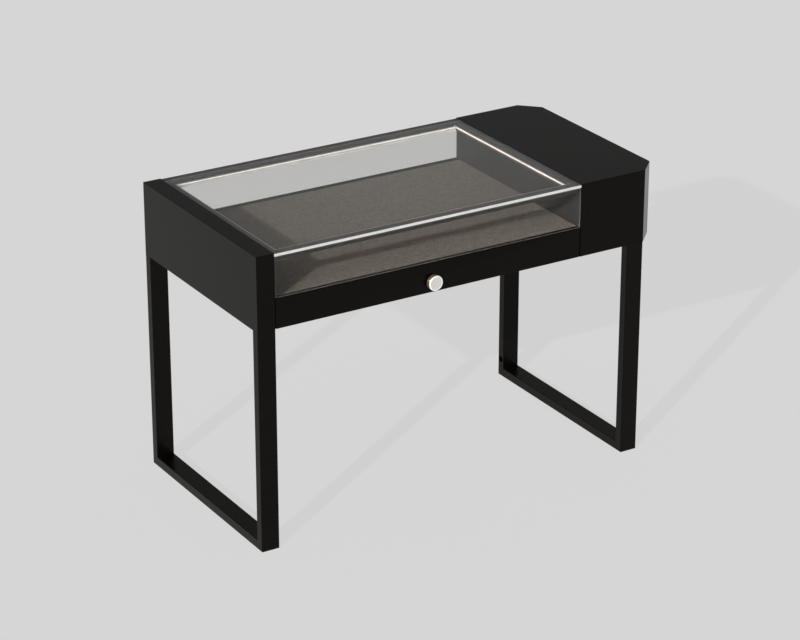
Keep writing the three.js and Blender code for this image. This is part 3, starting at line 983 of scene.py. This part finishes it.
class TABLE_OT_stage(bpy.types.Operator):
    """Pale floor, soft light and the photograph's camera"""

    bl_idname = "table.stage"
    bl_label = "Stage"

    def execute(self, context):
        scene = context.scene
        scene.view_settings.view_transform = "Standard"
        self.floor(scene)
        self.sky(scene)
        self.key_light(scene)
        self.camera(scene)
        return {"FINISHED"}

    def floor(self, scene):
        """Plain round floor that keeps a faint shadow and curves up into a low backdrop far away."""
        bm = bmesh.new()
        bmesh.ops.create_circle(bm, cap_ends=True, segments=FLOOR_STEPS, radius=FLOOR_REACH)
        bmesh.ops.translate(bm, verts=bm.verts, vec=(0, 0, -FLOOR_DROP))
        rim = [e for e in bm.edges if e.is_boundary]
        rise = bmesh.ops.extrude_edge_only(bm, edges=rim)
        upper = [v for v in rise["geom"] if isinstance(v, bmesh.types.BMVert)]
        bmesh.ops.translate(bm, verts=upper, vec=(0, 0, BACKDROP_HEIGHT))
        corner = [e for e in bm.edges if all(v.co.z < 0 for v in e.verts)]
        bmesh.ops.bevel(
            bm,
            geom=corner,
            offset=COVE,
            offset_type="OFFSET",
            segments=COVE_STEPS,
            profile=0.5,
            affect="EDGES",
            material=-1,
        )
        mesh = bpy.data.meshes.new("floor")
        bm.to_mesh(mesh)
        bm.free()
        mesh.shade_smooth()
        made = Finish("floor_paper")
        grey = colours().backdrop
        dark, light = (scaled(grey, shade) for shade in FLOOR_SHADES)
        made.colour(made.noise(0.8, 2.0), dark, light)
        made.set(Roughness=0.95, Specular_IOR_Level=0.0)
        plain = made.add("ShaderNodeEmission")
        plain.inputs["Color"].default_value = scaled(grey, 1.0)
        share = made.add("ShaderNodeMath", operation="MULTIPLY")
        made.link(seen_rays(made.tree), share.inputs[0])
        share.inputs[1].default_value = FLOOR_EVENNESS
        mix = made.add("ShaderNodeMixShader")
        made.link(share.outputs["Value"], mix.inputs[0])
        made.link(made.shader.outputs["BSDF"], mix.inputs[1])
        made.link(plain.outputs["Emission"], mix.inputs[2])
        made.link(mix.outputs["Shader"], made.tree.nodes["Material Output"].inputs["Surface"])
        mesh.materials.append(made.material)
        floor = bpy.data.objects.new("floor", mesh)
        scene.collection.objects.link(floor)

    def sky(self, scene):
        """Soft light all round, brightest on the key light's side and darker behind the table."""
        world = bpy.data.worlds.new("studio")
        scene.world = world
        world.use_nodes = True
        tree = world.node_tree
        direction = tree.nodes.new("ShaderNodeTexCoord").outputs["Generated"]
        facing = tree.nodes.new("ShaderNodeVectorMath")
        facing.operation = "DOT_PRODUCT"
        facing.inputs[1].default_value = TOWARDS_KEY
        tree.links.new(direction, facing.inputs[0])
        ramp = tree.nodes.new("ShaderNodeMapRange")
        ramp.interpolation_type = "SMOOTHSTEP"
        for name, value in SKY_RAMP.items():
            ramp.inputs[name].default_value = value
        tree.links.new(facing.outputs["Value"], ramp.inputs["Value"])
        light = tree.nodes["Background"]
        light.inputs["Strength"].default_value = sizes().sky_strength
        tree.links.new(ramp.outputs["Result"], light.inputs["Color"])

    def key_light(self, scene):
        data = bpy.data.lights.new("key", "SUN")
        data.energy = sizes().sun_strength
        data.angle = KEY_ANGLE
        data.color = KEY_COLOUR
        key = bpy.data.objects.new("key", data)
        key.rotation_euler = TOWARDS_KEY.to_track_quat("Z", "Y").to_euler()
        scene.collection.objects.link(key)

    def camera(self, scene):
        data = bpy.data.cameras.new("camera")
        data.sensor_fit = "HORIZONTAL"
        data.sensor_width = CAMERA_SENSOR
        data.lens = CAMERA_LENS
        data.clip_end = CAMERA_REACH
        camera = bpy.data.objects.new("camera", data)
        camera.location = CAMERA_PLACE
        camera.rotation_euler = CAMERA_LOOK.to_track_quat("-Z", "Y").to_euler()
        scene.collection.objects.link(camera)
        scene.camera = camera


OPERATORS = (
    TABLE_OT_boards,
    TABLE_OT_tray_front,
    TABLE_OT_panes,
    TABLE_OT_felt,
    TABLE_OT_light_frame,
    TABLE_OT_knob,
    TABLE_OT_runners,
    TABLE_OT_hardware,
    TABLE_OT_stage,
)


class TABLE_PT_panel(bpy.types.Panel):
    """Lists the steps that build the table's finish"""

    bl_idname = "TABLE_PT_panel"
    bl_label = "Display table"
    bl_space_type = "VIEW_3D"
    bl_region_type = "UI"
    bl_category = "Table"

    def draw(self, context):
        for settings in (context.scene.table_sizes, context.scene.table_colours):
            for name in settings.__annotations__:
                self.layout.prop(settings, name)
        for operator in OPERATORS:
            self.layout.operator(operator.bl_idname)


CLASSES = (TableSizes, TableColours, *OPERATORS, TABLE_PT_panel)


def register():
    for cls in CLASSES:
        bpy.utils.register_class(cls)
    bpy.types.Scene.table_sizes = PointerProperty(type=TableSizes)
    bpy.types.Scene.table_colours = PointerProperty(type=TableColours)


def unregister():
    del bpy.types.Scene.table_colours
    del bpy.types.Scene.table_sizes
    for cls in reversed(CLASSES):
        bpy.utils.unregister_class(cls)


def main():
    register()
    for operator in OPERATORS:
        group, name = operator.bl_idname.split(".")
        getattr(getattr(bpy.ops, group), name)()


if __name__ == "__main__":
    main()
